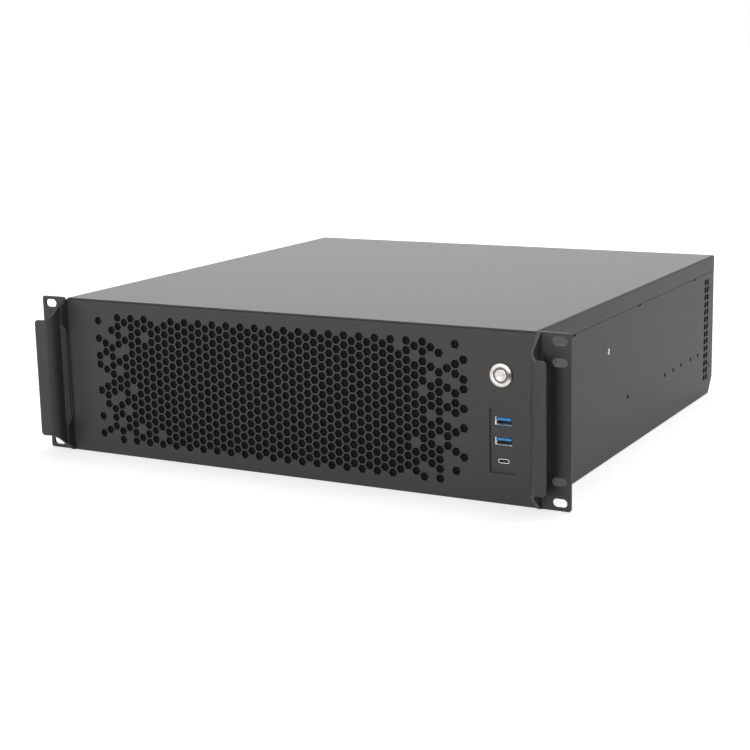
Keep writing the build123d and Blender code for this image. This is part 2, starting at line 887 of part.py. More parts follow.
def rocker_place():
    x, z = inlet_place()
    return x, z - inlet_size[1] / 2 - rocker_gap - rocker_size[1] / 2


def psu_housing():
    """Steel box with a pocket for the inlet, one for the rocker, and a vent field."""
    width, depth, height = psu_size
    housing = box(psu_left, psu_right, rear_front - depth, rear_front, sheet, sheet + height)
    x, z = inlet_place()
    housing -= along_y(Rectangle(*inlet_size), rear_front - inlet_depth, rear_front + 1, x, z)
    x, z = rocker_place()
    pocket = Rectangle(rocker_size[0] + 2 * rocker_play, rocker_size[1] + 2 * rocker_play)
    housing -= along_y(pocket, rear_front - rocker_depth * 2, rear_front + 1, x, z)
    first = psu_left + psu_vent_first
    columns = int((psu_right - psu_border * 2 - first) // psu_vent_step)
    rows = int((height - psu_border * 4) // psu_vent_step)
    for column in range(columns):
        for row in range(rows):
            left = first + column * psu_vent_step
            low = sheet + psu_border * 2 + row * psu_vent_step
            housing -= box(left, left + psu_vent, rear_front - psu_vent_depth, rear_front + 1, low, low + psu_vent)
    return housing


def psu_inlet():
    """Three-pin mains inlet: a cup with its pins."""
    x, z = inlet_place()
    floor = rear_front - inlet_depth + inlet_floor
    cup = along_y(Rectangle(*inlet_size), rear_front - inlet_depth, rear_front, x, z)
    mouth = Rectangle(inlet_size[0] - 2 * inlet_wall, inlet_size[1] - 2 * inlet_wall)
    cup -= along_y(mouth, floor, rear_front + 1, x, z)
    for pin_x, pin_z in inlet_pins:
        cup += along_y(Rectangle(*inlet_pin), floor - 1, rear_front - inlet_pin_back, x + pin_x, z + pin_z)
    return cup


def rocker_pivot():
    """Pin through the rocker's middle, held in the housing on both sides."""
    x, z = rocker_place()
    reach = rocker_size[0] / 2 + rocker_play
    return rod_x(pivot_radius, x - reach, x + reach, rear_front - pivot_depth, z)


def psu_rocker():
    """Rocker with a shallow V face; it turns on its pivot in the housing's pocket."""
    x, z = rocker_place()
    reach = rocker_size[1] / 2 - rocker_end_play
    root = rear_front - rocker_back
    points = [(root, z - reach * rocker_taper), (rear_front + rocker_rise, z - reach), (rear_front - rocker_dip, z),
              (rear_front + rocker_rise, z + reach), (root, z + reach * rocker_taper)]
    rocker = along_x(points, x - rocker_size[0] / 2, x + rocker_size[0] / 2)
    bore = rod_x(pivot_radius + shaft_play, x - rocker_size[0], x + rocker_size[0], rear_front - pivot_depth, z)
    return rocker - bore


def storage_drive():
    width, length, height = drive_size
    low = sheet + drive_lift
    body = box(drive_x - width / 2, drive_x + width / 2, drive_front, drive_front + length, low, low + height)
    return fillet(body.edges().filter_by(Axis.Z), drive_corner)


def drive_bracket():
    """Two angles that lift the drive off the floor and hold it by its sides."""
    width, length, height = drive_size
    front, back = drive_front + angle_setback, drive_front + length - angle_setback
    inner = drive_x + width / 2
    angle = box(inner, inner + sheet, front, back, sheet, sheet + drive_lift + height * angle_share)
    angle += box(inner, inner + angle_foot, front, back, sheet, sheet * 2)
    return [angle, mirror(angle, about=Plane.YZ.offset(drive_x))]


def cover_screws():
    """Hexagon-headed screws that hold the cover's rear lip."""
    rear = rear_edge + sheet / 2
    z = rack_height - sheet - screw_drop
    head = RegularPolygon(screw_radius, 6)
    return [along_y(head, rear, rear + screw_length, sense * half * screw_share, z) for sense in (-1, 1)]


def rail_inserts():
    """Threaded inserts pressed into the side walls."""
    start = half - sheet - insert_depth
    tube = rod_x(insert_radius, start, half - insert_sunk, insert_y, insert_z)
    tube -= rod_x(insert_bore, start - 1, half + 1, insert_y, insert_z)
    return [tube, mirrored(tube)]


def build():
    right = handle()
    save("handle_right", right)
    save("handle_left", mirrored(right))
    save("front_panel", front_panel())
    save("chassis_base", chassis_base())
    save("top_cover", top_cover())
    save("rear_panel", rear_panel())
    save("dust_filter", dust_filter())
    save("fan_bracket", fan_bracket())
    for offset, name in zip(fan_offsets, fan_names):
        save(f"fan_frame_{name}", fan_frame(fan_size, fan_depth, fan_axis(offset)))
        save(f"fan_rotor_{name}", fan_rotor(fan_size, fan_depth, fan_axis(offset)))
    save("button_bezel", button_bezel())
    save("button_ring", button_ring())
    save("button_cap", button_cap())
    save("button_switch", button_switch())
    save("button_nut", button_nut())
    save("port_plate", port_plate())
    save("usb_a_shells", usb_a_shells())
    save("usb_a_tongues", usb_a_tongues())
    save("usb_c_shell", usb_c_shell())
    save("usb_c_tongue", usb_c_tongue_piece())
    save("port_board", port_board_piece())
    save("port_spacers", port_spacers())
    save("main_board", main_board())
    save("board_standoffs", board_standoffs())
    save("processor_socket", processor_socket())
    save("cooler_heatsink", heatsink())
    save("cooler_fan_frame", fan_frame(cooler_size, fan_depth, cooler_axis()))
    save("cooler_fan_rotor", fan_rotor(cooler_size, fan_depth, cooler_axis()))
    save("memory_slots", memory_slots())
    save("memory_modules", memory_modules())
    save("expansion_sockets", expansion_sockets())
    save("graphics_board", graphics_board())
    save("graphics_housing", graphics_housing())
    save("graphics_bracket", graphics_bracket())
    save("slot_covers", slot_covers())
    save("io_shield", io_shield())
    save("rear_ports", rear_ports())
    save("psu_housing", psu_housing())
    save("psu_inlet", psu_inlet())
    save("psu_rocker_pivot", rocker_pivot())
    save("psu_rocker", psu_rocker())
    save("storage_drive", storage_drive())
    save("drive_bracket", drive_bracket())
    save("cover_screws", cover_screws())
    save("rail_inserts", rail_inserts())


build()
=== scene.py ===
import bpy
import math
from mathutils import Matrix, Vector


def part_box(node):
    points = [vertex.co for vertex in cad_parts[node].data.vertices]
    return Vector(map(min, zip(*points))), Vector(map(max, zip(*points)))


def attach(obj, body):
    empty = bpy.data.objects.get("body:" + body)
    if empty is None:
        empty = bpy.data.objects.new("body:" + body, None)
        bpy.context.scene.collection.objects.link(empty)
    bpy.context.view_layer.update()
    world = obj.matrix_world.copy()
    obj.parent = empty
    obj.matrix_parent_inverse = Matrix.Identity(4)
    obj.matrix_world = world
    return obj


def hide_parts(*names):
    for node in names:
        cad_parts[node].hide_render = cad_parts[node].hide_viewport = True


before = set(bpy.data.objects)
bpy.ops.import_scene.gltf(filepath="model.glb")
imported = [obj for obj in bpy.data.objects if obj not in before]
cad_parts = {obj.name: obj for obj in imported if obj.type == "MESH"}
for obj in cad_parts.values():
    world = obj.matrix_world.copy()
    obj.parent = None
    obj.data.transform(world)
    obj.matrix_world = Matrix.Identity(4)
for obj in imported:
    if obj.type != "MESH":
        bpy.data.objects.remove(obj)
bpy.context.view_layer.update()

MM = 0.001
CHASSIS = "chassis"
ALONG_Y = (math.pi / 2, 0, 0)
ALONG_X = (0, math.pi / 2, 0)

# Camera, worked out from the rack ears, the perforation and the long edges
CAMERA_PLACE = Vector((655.6, -1046.7, 341.8)) * MM
CAMERA_TARGET = Vector((-38.4, 215.0, 37.05)) * MM
CAMERA_ROLL = math.radians(-1.30)
CAMERA_LENS = 76.53
SENSOR_WIDTH = 36.0

# Light: the world's share, what the front reflects of the world and of the floor before it,
# the floor's own white and its grey
WORLD_LIGHT = 0.10
FRONT_GLEAM = 0.60
FRONT_CARD = 1.7
FLOOR_LIFT = 0.66
FLOOR_GREY = 0.55
# Soft lamps: place, target, size in metres, power in watts
LAMPS = (
    ("top_softbox", (0.05, 0.75, 1.9), (0, 0.25, 0), (2.4, 1.8), 46),
    ("left_softbox", (-1.9, -1.9, 0.8), (0, 0, 0.06), (1.6, 1.0), 12),
    ("front_softbox", (0.12, -2.6, 0.6), (0, 0, 0.06), (0.9, 0.9), 37),
    ("rear_softbox", (-1.6, 3.0, 0.85), (0, 0.2, 0.1), (3.2, 1.0), 17),
)

# Half the body's width, and the front panel's two faces
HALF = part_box("chassis_base")[1].x
FACE = -2.0 * MM
PANEL_BACK = FACE + 1.5 * MM
# How glossy the powder coat is
COAT_SHINE = 0.27


# Selection and small mesh helpers

def deselect():
    bpy.ops.object.select_all(action="DESELECT")


def only(piece):
    """Make one object the only selected and the active one."""
    deselect()
    piece.select_set(True)
    bpy.context.view_layer.objects.active = piece


def name_last(name):
    piece = bpy.context.object
    piece.name = name
    piece.data.name = name
    return piece


def box_piece(name, low, high):
    """A cube primitive between two corners, its place in its mesh."""
    low, high = Vector(low), Vector(high)
    deselect()
    bpy.ops.mesh.primitive_cube_add(size=1, location=(low + high) / 2)
    piece = name_last(name)
    piece.scale = high - low
    bpy.ops.object.transform_apply(location=True, rotation=True, scale=True)
    return piece


def bar_piece(name, x, z, size, y0, y1):
    """A box along Y about a middle, of a width and a height."""
    wide, tall = size
    return box_piece(name, (x - wide / 2, y0, z - tall / 2), (x + wide / 2, y1, z + tall / 2))


def disc_piece(name, radius, depth, place, sides, turn=ALONG_Y):
    """A cylinder primitive, by default lying along Y, its place in its mesh."""
    deselect()
    bpy.ops.mesh.primitive_cylinder_add(vertices=sides, radius=radius, depth=depth,
                                        location=place, rotation=turn)
    piece = name_last(name)
    bpy.ops.object.transform_apply(location=True, rotation=True, scale=True)
    return piece


def apply_all(piece):
    only(piece)
    for modifier in list(piece.modifiers):
        bpy.ops.object.modifier_apply(modifier=modifier.name)
    return piece


def combine(piece, other, operation):
    """Join the other piece's volume to this one or take it out, and remove the other."""
    modifier = piece.modifiers.new("combine", "BOOLEAN")
    modifier.operation = operation
    modifier.object = other
    modifier.solver = "EXACT"
    apply_all(piece)
    bpy.data.objects.remove(other, do_unlink=True)
    return piece


def cut(piece, cutter):
    return combine(piece, cutter, "DIFFERENCE")


def joined(pieces, name):
    deselect()
    for piece in pieces:
        piece.select_set(True)
    bpy.context.view_layer.objects.active = pieces[0]
    if len(pieces) > 1:
        bpy.ops.object.join()
    return name_last(name)


def copies(piece, places):
    """The piece moved to each place, each copy with its own mesh."""
    made = []
    for place in places:
        other = piece.copy()
        other.data = piece.data.copy()
        bpy.context.collection.objects.link(other)
        for vertex in other.data.vertices:
            vertex.co += Vector(place)
        made.append(other)
    bpy.data.objects.remove(piece, do_unlink=True)
    return made


def soften(piece, width, segments=2):
    """Round the sharp edges and shade the rest by angle."""
    modifier = piece.modifiers.new("edge", "BEVEL")
    modifier.width = width
    modifier.segments = segments
    modifier.limit_method = "ANGLE"
    modifier.angle_limit = math.radians(35)
    modifier.use_clamp_overlap = True
    apply_all(piece)
    bpy.ops.object.shade_smooth_by_angle(angle=math.radians(40))
    weighted = piece.modifiers.new("flat_faces", "WEIGHTED_NORMAL")
    weighted.keep_sharp = True
    weighted.weight = 100
    return apply_all(piece)


def dress(piece, material, body=CHASSIS):
    """Give the piece its one material and its body."""
    piece.data.materials.clear()
    piece.data.materials.append(material)
    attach(piece, body)
    return piece


def merged_copy(node, name):
    """A copy of a node with its doubles merged, faces inside it removed and flat faces joined."""
    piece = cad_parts[node].copy()
    piece.data = piece.data.copy()
    piece.name = name
    piece.data.name = name
    piece.parent = None
    bpy.context.collection.objects.link(piece)
    only(piece)
    bpy.ops.object.mode_set(mode="EDIT")
    bpy.ops.mesh.select_all(action="SELECT")
    bpy.ops.mesh.remove_doubles(threshold=0.002 * MM)
    bpy.ops.mesh.dissolve_limited(angle_limit=math.radians(0.5))
    bpy.ops.object.mode_set(mode="OBJECT")
    drop_inner_faces(piece)
    return piece


def drop_inner_faces(piece):
    """Merge corners that meet and delete the walls left inside a joined piece."""
    only(piece)
    bpy.ops.object.mode_set(mode="EDIT")
    bpy.ops.mesh.select_all(action="SELECT")
    bpy.ops.mesh.remove_doubles(threshold=0.002 * MM)
    bpy.ops.mesh.select_all(action="DESELECT")
    bpy.ops.mesh.select_mode(type="FACE")
    bpy.ops.mesh.select_interior_faces()
    bpy.ops.mesh.delete(type="FACE")
    bpy.ops.mesh.select_all(action="SELECT")
    bpy.ops.mesh.dissolve_limited(angle_limit=math.radians(0.5))
    bpy.ops.object.mode_set(mode="OBJECT")
    return piece


def edit_selected(piece, kind, test):
    """Enter edit mode with only those faces or edges selected that pass the test."""
    only(piece)
    bpy.ops.object.mode_set(mode="EDIT")
    bpy.ops.mesh.select_mode(type=kind)
    bpy.ops.mesh.select_all(action="DESELECT")
    bpy.ops.object.mode_set(mode="OBJECT")
    parts = piece.data.polygons if kind == "FACE" else piece.data.edges
    for part in parts:
        part.select = test(part)
    bpy.ops.object.mode_set(mode="EDIT")


def on_field_edge(face):
    """Whether a face's middle lies on the rim between the panel and the field set into it."""
    near = 0.01 * MM
    place = face.center
    across = FIELD_LEFT - near < place.x < FIELD_RIGHT + near
    upright = FIELD_BOTTOM - near < place.z < FIELD_TOP + near
    on_side = min(abs(place.x - FIELD_LEFT), abs(place.x - FIELD_RIGHT)) < near
    on_end = min(abs(place.z - FIELD_BOTTOM), abs(place.z - FIELD_TOP)) < near
    return across and upright and (on_side or on_end)


def finished(node, material, width, body=CHASSIS):
    """A node's merged copy with rounded edges, worn in place of the node."""
    piece = soften(merged_copy(node, node + "_finished"), width)
    dress(piece, material, body)
    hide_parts(node)
    return piece


# Node tree helpers

def new_material(name):
    material = bpy.data.materials.new(name)
    material.use_nodes = True
    nodes = material.node_tree.nodes
    return material, nodes, material.node_tree.links, nodes["Principled BSDF"]


def coordinates(nodes, links, scale=(1, 1, 1), place=(0, 0, 0)):
    """Object coordinates, centred and stretched."""
    coordinate = nodes.new("ShaderNodeTexCoord")
    mapping = nodes.new("ShaderNodeMapping")
    mapping.inputs["Location"].default_value = place
    mapping.inputs["Scale"].default_value = scale
    links.new(coordinate.outputs["Object"], mapping.inputs["Vector"])
    return mapping.outputs["Vector"]


def noise(nodes, links, vector, scale, detail=2.0, rough=0.5):
    texture = nodes.new("ShaderNodeTexNoise")
    texture.inputs["Scale"].default_value = scale
    texture.inputs["Detail"].default_value = detail
    texture.inputs["Roughness"].default_value = rough
    links.new(vector, texture.inputs["Vector"])
    return texture.outputs["Fac"]


def ramp(nodes, links, source, stops):
    """A colour ramp; each stop is a place and a colour."""
    band = nodes.new("ShaderNodeValToRGB")
    elements = band.color_ramp.elements
    elements[0].position, elements[0].color = stops[0][0], (*stops[0][1], 1)
    elements[1].position, elements[1].color = stops[-1][0], (*stops[-1][1], 1)
    for place, colour in stops[1:-1]:
        element = elements.new(place)
        element.color = (*colour, 1)
    links.new(source, band.inputs["Fac"])
    return band.outputs["Color"]


def bump(nodes, links, height, strength, distance, shader):
    node = nodes.new("ShaderNodeBump")
    node.inputs["Strength"].default_value = strength
    node.inputs["Distance"].default_value = distance
    links.new(height, node.inputs["Height"])
    links.new(node.outputs["Normal"], shader.inputs["Normal"])


def math_step(nodes, links, operation, *values):
    """One step of arithmetic on sockets and plain numbers."""
    step = nodes.new("ShaderNodeMath")
    step.operation = operation
    for socket, value in zip(step.inputs, values):
        if isinstance(value, (int, float)):
            socket.default_value = value
        else:
            links.new(value, socket)
    return step.outputs["Value"]


def spread_range(nodes, links, source, low, high, start, end=1.0):
    """A value carried from one range to another; the start may be a socket."""
    change = nodes.new("ShaderNodeMapRange")
    change.inputs["From Min"].default_value = low
    change.inputs["From Max"].default_value = high
    change.inputs["To Max"].default_value = end
    if isinstance(start, (int, float)):
        change.inputs["To Min"].default_value = start
    else:
        links.new(start, change.inputs["To Min"])
    links.new(source, change.inputs["Value"])
    return change.outputs["Result"]


def split_axes(nodes, links, vector):
    split = nodes.new("ShaderNodeSeparateXYZ")
    links.new(vector, split.inputs["Vector"])
    return split.outputs


def vector_length(nodes, links, vector):
    measure = nodes.new("ShaderNodeVectorMath")
    measure.operation = "LENGTH"
    links.new(vector, measure.inputs[0])
    return measure.outputs["Value"]


def grey(value):
    return (value, value, value)


# Materials

def powder_coat(name, dark, light, rough):
    """Fine-grained black powder coat: a soft orange-peel with tiny specks."""
    material, nodes, links, shader = new_material(name)
    vector = coordinates(nodes, links)
    specks = noise(nodes, links, vector, 900, 3.0, 0.6)
    links.new(ramp(nodes, links, specks, [(0.25, dark), (0.75, light)]), shader.inputs["Base Color"])
    peel = noise(nodes, links, vector, 900, 2.0)
    roughness = spread_range(nodes, links, peel, 0.0, 1.0, rough - 0.06, rough + 0.10)
    links.new(roughness, shader.inputs["Roughness"])
    bump(nodes, links, specks, 0.30, 0.10 * MM, shader)
    shader.inputs["Specular IOR Level"].default_value = COAT_SHINE
    return material


def plated_steel(name, colour, rough=0.34):
    """Plated sheet steel with a faint rolled grain."""
    material, nodes, links, shader = new_material(name)
    vector = coordinates(nodes, links, (1, 12, 12))
    grain = noise(nodes, links, vector, 120, 4.0, 0.6)
    low = tuple(channel * 0.86 for channel in colour)
    links.new(ramp(nodes, links, grain, [(0.3, low), (0.7, colour)]), shader.inputs["Base Color"])
    shader.inputs["Metallic"].default_value = 1.0
    shader.inputs["Roughness"].default_value = rough
    bump(nodes, links, grain, 0.12, 0.03 * MM, shader)
    return material


def turned_steel(name, centre, rings, turns, painted_sheen):
    """Stainless steel turned about Y: fine rings round the axis, and painted reflections and highlights in
    its colour that change along each turn.
    """
    material, nodes, links, shader = new_material(name)
    axes = split_axes(nodes, links, coordinates(nodes, links, place=tuple(-value for value in centre)))
    angle = math_step(nodes, links, "ARCTAN2", axes["Z"], axes["X"])
    part = math_step(nodes, links, "FRACT", math_step(nodes, links, "MULTIPLY", angle, turns / math.tau))
    # the colour is painted lighter and darker round the axis: painted reflections of the surroundings and
    # painted highlights
    stops = [(place, tuple(level * channel for channel in STEEL_TINT)) for place, level in painted_sheen]
    links.new(ramp(nodes, links, part, stops), shader.inputs["Base Color"])
    flat = nodes.new("ShaderNodeCombineXYZ")
    links.new(axes["X"], flat.inputs["X"])
    links.new(axes["Z"], flat.inputs["Y"])
    reach = vector_length(nodes, links, flat.outputs["Vector"])
    groove = math_step(nodes, links, "SINE", math_step(nodes, links, "MULTIPLY", reach, rings))
    shader.inputs["Metallic"].default_value = 1.0
    shader.inputs["Roughness"].default_value = 0.30
    bump(nodes, links, groove, 0.18, 0.02 * MM, shader)
    return material


def plastic(name, colour, rough=0.45, grain=900, strength=0.1):
    """Moulded plastic with a fine spark-eroded grain."""
    material, nodes, links, shader = new_material(name)
    vector = coordinates(nodes, links)
    texture = noise(nodes, links, vector, grain, 2.0)
    low = tuple(channel * 0.8 for channel in colour)
    links.new(ramp(nodes, links, texture, [(0.3, low), (0.7, colour)]), shader.inputs["Base Color"])
    shader.inputs["Roughness"].default_value = rough
    bump(nodes, links, texture, strength, 0.05 * MM, shader)
    return material


def filter_mesh(name):
    """Woven black nylon: two crossed threads, open dark pores between them."""
    material, nodes, links, shader = new_material(name)
    vector = coordinates(nodes, links)
    threads = []
    for direction in ("X", "Z"):
        wave = nodes.new("ShaderNodeTexWave")
        wave.bands_direction = direction
        wave.inputs["Scale"].default_value = 420
        links.new(vector, wave.inputs["Vector"])
        threads.append(wave.outputs["Fac"])
    weave = math_step(nodes, links, "MULTIPLY", *threads)
    colours = [(0.1, grey(0.002)), (0.7, grey(0.012))]
    links.new(ramp(nodes, links, weave, colours), shader.inputs["Base Color"])
    shader.inputs["Roughness"].default_value = 0.7
    shader.inputs["Specular IOR Level"].default_value = 0.08
    bump(nodes, links, weave, 0.6, 0.2 * MM, shader)
    return material


def circuit_board(name):
    """Dark solder mask with copper tracks showing faintly through it."""
    material, nodes, links, shader = new_material(name)
    vector = coordinates(nodes, links)
    tracks = nodes.new("ShaderNodeTexBrick")
    tracks.inputs["Scale"].default_value = 90
    tracks.inputs["Mortar Size"].default_value = 0.03
    tracks.inputs["Color1"].default_value = (0.006, 0.020, 0.015, 1)
    tracks.inputs["Color2"].default_value = (0.008, 0.026, 0.019, 1)
    tracks.inputs["Mortar"].default_value = (0.015, 0.060, 0.040, 1)
    links.new(vector, tracks.inputs["Vector"])
    links.new(tracks.outputs["Color"], shader.inputs["Base Color"])
    shader.inputs["Roughness"].default_value = 0.35
    bump(nodes, links, noise(nodes, links, vector, 500), 0.08, 0.05 * MM, shader)
    return material


# The button's steel, and the painted reflections and highlights put into the colour of its turned faces
# round the axis: share of a turn from the right, then brightness
STEEL_TINT = (0.56, 0.52, 0.49)
BEZEL_PAINTED_REFLECTION = (
    (0.0, 0.10), (0.035, 0.16), (0.065, 0.60), (0.10, 0.95), (0.28, 1.0), (0.40, 0.86),
    (0.44, 0.60), (0.49, 0.84), (0.75, 0.80), (0.92, 0.86), (0.955, 0.30), (1.0, 0.10),
)
CAP_PAINTED_HIGHLIGHT = (
    (0.0, 0.80), (0.09, 0.56), (0.18, 0.80), (0.32, 0.84), (0.37, 1.0), (0.42, 0.84), (1.0, 0.80),
)


def make_materials():
    low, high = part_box("button_cap")
    centre = (low + high) / 2
    centre.y = 0
    return {
        "case": powder_coat("black_powder_coat", grey(0.030), grey(0.044), 0.44),
        # a darker copy of the case's coat for the parts inside: painted shade
        "inner": powder_coat("black_powder_coat_painted_shade", grey(0.018), grey(0.028), 0.5),
        "supply": powder_coat("satin_black_paint", grey(0.026), grey(0.036), 0.42),
        "filter": filter_mesh("black_filter_mesh"),
        # near-black plastic for the rings round the side fasteners: painted shadow
        "painted_shadow_ring": plastic("black_painted_shadow_ring", grey(0.004), 0.8),
        "fan": plastic("black_fan_plastic", grey(0.028), 0.42),
        "moulded": plastic("black_moulded_plastic", grey(0.018), 0.38),
        "ring": plastic("smoked_light_ring", grey(0.19), 0.35),
        "blue": plastic("blue_port_plastic", (0.020, 0.24, 0.60), 0.35),
        # painted reflections and highlights in the colour of the head's and the cap's steel
        "turned": turned_steel("turned_stainless_steel", centre, 42000, 1, BEZEL_PAINTED_REFLECTION),
        "spun": turned_steel("spun_stainless_steel", centre, 60000, 2, CAP_PAINTED_HIGHLIGHT),
        "plated": plated_steel("plated_sheet_steel", (0.50, 0.49, 0.47), 0.42),
        "port": plated_steel("bright_port_shell", (0.86, 0.85, 0.82), 0.25),
        "aluminium": plated_steel("satin_aluminium", (0.80, 0.80, 0.81), 0.38),
        "brass": plated_steel("turned_brass", (0.78, 0.60, 0.30), 0.30),
        "board": circuit_board("dark_green_circuit_board"),
    }


# Camera, light and ground

def make_camera():
    camera = bpy.data.objects.new("camera", bpy.data.cameras.new("camera"))
    bpy.context.collection.objects.link(camera)
    camera.data.lens = CAMERA_LENS
    camera.data.sensor_width = SENSOR_WIDTH
    camera.data.clip_start = 0.05
    camera.data.clip_end = 50
    level = (CAMERA_TARGET - CAMERA_PLACE).to_track_quat("-Z", "Y").to_matrix().to_4x4()
    turn = level @ Matrix.Rotation(CAMERA_ROLL, 4, "Z")
    camera.location = CAMERA_PLACE
    camera.rotation_euler = turn.to_euler()
    bpy.context.scene.camera = camera


def area_lamp(name, place, target, size, power):
    data = bpy.data.lights.new(name, "AREA")
    data.shape = "RECTANGLE"
    data.size, data.size_y = size
    data.energy = power
    lamp = bpy.data.objects.new(name, data)
    bpy.context.collection.objects.link(lamp)
    lamp.location = place
    lamp.rotation_euler = (Vector(target) - Vector(place)).to_track_quat("-Z", "Y").to_euler()
    return lamp


def backdrop_rays(nodes, links):
    """One where a camera, mirror or glass ray looks at the backdrop, zero for the light that it gives."""
    path = nodes.new("ShaderNodeLightPath").outputs
    mirror = math_step(nodes, links, "MAXIMUM", path["Is Camera Ray"], path["Is Glossy Ray"])
    return math_step(nodes, links, "MAXIMUM", mirror, path["Is Transmission Ray"])


def make_studio():
    """White all round for the camera, dimmer in front for what the coat mirrors, dim for its light."""
    world = bpy.data.worlds.new("studio")
    bpy.context.scene.world = world
    world.use_nodes = True
    nodes, links = world.node_tree.nodes, world.node_tree.links
    background = nodes["Background"]
    background.inputs["Color"].default_value = (1, 1, 1, 1)
    camera_ray = nodes.new("ShaderNodeLightPath").outputs["Is Camera Ray"]
    axes = split_axes(nodes, links, nodes.new("ShaderNodeTexCoord").outputs["Generated"])
    behind = spread_range(nodes, links, axes["Y"], -0.5, 0.3, FRONT_GLEAM)
    gleam = math_step(nodes, links, "MULTIPLY", backdrop_rays(nodes, links), behind)
    seen = math_step(nodes, links, "MAXIMUM", gleam, camera_ray)
    links.new(math_step(nodes, links, "MAXIMUM", seen, WORLD_LIGHT), background.inputs["Strength"])
    for name, place, target, size, power in LAMPS:
        area_lamp(name, place, target, size, power)


def make_floor():
    """White backdrop floor: it shows white and keeps the object's shadow."""
    deselect()
    bpy.ops.mesh.primitive_plane_add(size=40, location=(0, 0, -0.1 * MM))
    floor = name_last("floor")
    bpy.ops.object.transform_apply(location=True, rotation=True, scale=True)
    material, nodes, links, shader = new_material("pale_floor")
    vector = coordinates(nodes, links)
    shades = [(0.3, grey(FLOOR_GREY)), (0.7, grey(FLOOR_GREY + 0.02))]
    links.new(ramp(nodes, links, noise(nodes, links, vector, 3), shades), shader.inputs["Base Color"])
    shader.inputs["Roughness"].default_value = 0.9
    shader.inputs["Specular IOR Level"].default_value = 0.0
    lift = spread_range(nodes, links, vector_length(nodes, links, vector), 0.7, 2.5, FLOOR_LIFT)
    camera_ray = nodes.new("ShaderNodeLightPath").outputs["Is Camera Ray"]
    card = math_step(nodes, links, "MULTIPLY_ADD", camera_ray, 1 - FRONT_CARD, FRONT_CARD)
    front = spread_range(nodes, links, split_axes(nodes, links, vector)["Y"], -0.25, 0.0, card)
    share = math_step(nodes, links, "MULTIPLY", backdrop_rays(nodes, links), lift)
    glow = nodes.new("ShaderNodeEmission")
    links.new(math_step(nodes, links, "MULTIPLY", share, front), glow.inputs["Strength"])
    both = nodes.new("ShaderNodeAddShader")
    links.new(shader.outputs["BSDF"], both.inputs[0])
    links.new(glow.outputs["Emission"], both.inputs[1])
    links.new(both.outputs["Shader"], nodes["Material Output"].inputs["Surface"])
    floor.data.materials.append(material)


# Front panel with its true lattice of hexagonal holes

FIELD_X = -13.7 * MM
FIELD_Z = 66.0 * MM
COLUMN_STEP = 6.777 * MM
ROW_STEP = 7.47 * MM
CELL_FLATS = 6.3 * MM
EDGE_COLUMN = 25
EDGE_ROW = 14
FIELD_LEFT = FIELD_X - 178 * MM
FIELD_RIGHT = FIELD_X + 178 * MM
FIELD_BOTTOM = FIELD_Z - 60 * MM
FIELD_TOP = FIELD_Z + 60 * MM
# Cells left unpunched: for each column from the middle, its half rows down from the middle
UNPUNCHED = {
    -25: (-11, -7, -1, 1, 5, 7, 11), -24: (-14, -12, -10, -4, 0, 8, 10, 14), -23: (-13, -9, 5, 13),
    -22: (-6, -2, 4, 10), -21: (-11, -7, 7, 13), -20: (2,), -19: (11,), -18: (-10,), -16: (-14, 12),
    17: (-13,), 18: (14,), 19: (-11, 7), 20: (-4, 12), 21: (-11, -7, 1, 13), 22: (-14, -10, 6),
    23: (-13, -11, -7, -3, 1, 9, 11, 13), 24: (-12, -6, 2, 6, 10, 14), 25: (-13, -9, -3, 1, 5, 7, 11, 13),
}


def cell_places():
    """Where the cells are punched: every other half row in each column."""
    places = []
    for column in range(-EDGE_COLUMN, EDGE_COLUMN + 1):
        for row in range(-EDGE_ROW, EDGE_ROW + 1):
            if (column + row) % 2 == 0 and row not in UNPUNCHED.get(column, ()):
                places.append((FIELD_X + column * COLUMN_STEP, 0, FIELD_Z - row * ROW_STEP / 2))
    return places


def hexagon_cutter():
    """One six-sided prism, corners to left and right, copied to every punched cell."""
    cell = disc_piece("cell", CELL_FLATS / math.sqrt(3), 8 * MM, (0, (FACE + PANEL_BACK) / 2, 0), 6)
    only(cell)
    bpy.ops.object.mode_set(mode="EDIT")
    bpy.ops.mesh.select_all(action="SELECT")
    bpy.ops.transform.rotate(value=math.radians(30), orient_axis="Y", center_override=(0, 0, 0))
    bpy.ops.object.mode_set(mode="OBJECT")
    return joined(copies(cell, cell_places()), "cells")


def front_panel():
    """The CAD panel with its coarse field cut out and the true punched field set in."""
    panel = merged_copy("front_panel", "front_panel_finished")
    low = (FIELD_LEFT, FACE, FIELD_BOTTOM)
    high = (FIELD_RIGHT, PANEL_BACK, FIELD_TOP)
    margin = Vector((0, 5 * MM, 0))
    cut(panel, box_piece("field_opening", Vector(low) - margin, Vector(high) + margin))
    field = cut(box_piece("field", low, high), hexagon_cutter())
    panel = joined([panel, field], "front_panel_finished")
    edit_selected(panel, "FACE", on_field_edge)
    bpy.ops.mesh.delete(type="FACE")
    bpy.ops.object.mode_set(mode="OBJECT")
    drop_inner_faces(panel)
    soften(panel, 0.16 * MM, 1)
    dress(panel, M["case"])
    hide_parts("front_panel")


